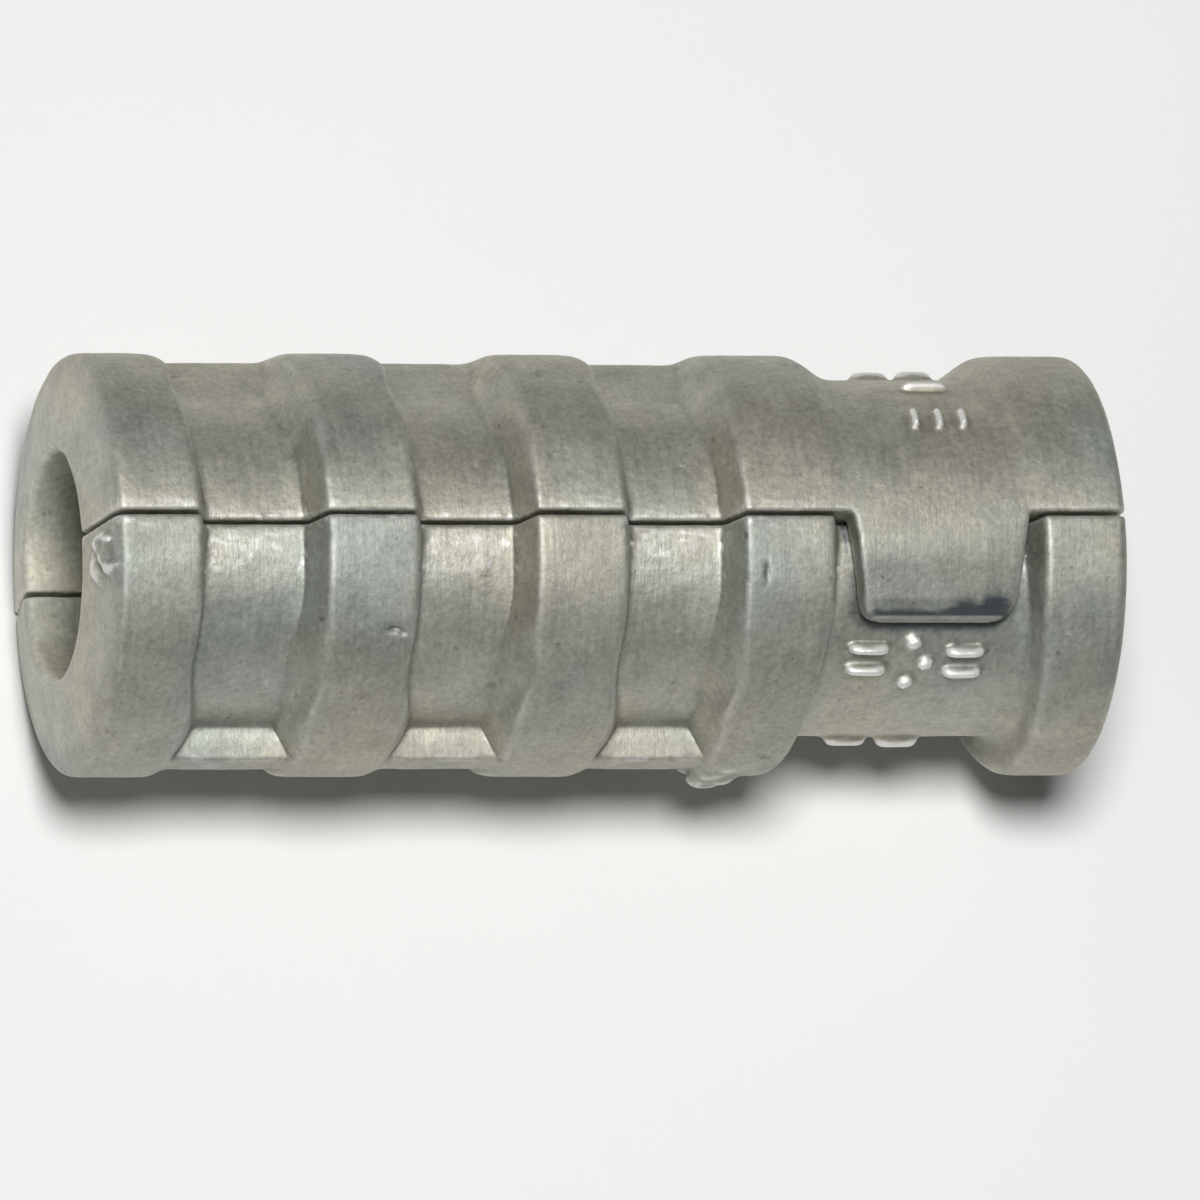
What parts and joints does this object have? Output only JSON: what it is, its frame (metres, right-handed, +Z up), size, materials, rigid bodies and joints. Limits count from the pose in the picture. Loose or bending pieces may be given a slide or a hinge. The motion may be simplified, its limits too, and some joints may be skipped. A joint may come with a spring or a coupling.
{
  "type": "lag screw shield anchor",
  "caption": "Die-cast expansion anchor for masonry: two ribbed half shells held together by tabs, spread at the nose by a lag screw.",
  "frame": {"origin": "centre of the screw's mouth, on the bore's axis in the collar's end face", "axes": "+X along the bore axis out of the mouth, +Z up along the seam plane with the anchor lying on its side, +Y towards the half with the tabs"},
  "size_m": [0.0318, 0.0126, 0.0126],
  "materials": {
    "cast_zinc_tab_half": "die-cast zinc alloy, as cast, dull satin grey with a mottled skin",
    "cast_zinc_neck_half": "die-cast zinc alloy, as cast, dull satin grey with a mottled skin"
  },
  "bodies": {
    "tab_half": {"tab_half": "cast_zinc_tab_half"},
    "neck_half": {"neck_half": "cast_zinc_neck_half"}
  },
  "joints": [
    {"name": "nose_spread", "type": "hinge", "parent": "tab_half", "child": "neck_half", "pos_m": [0, 0, 0], "axis": [0, 0, 1], "range_deg": [0, 2.5]}
  ]
}
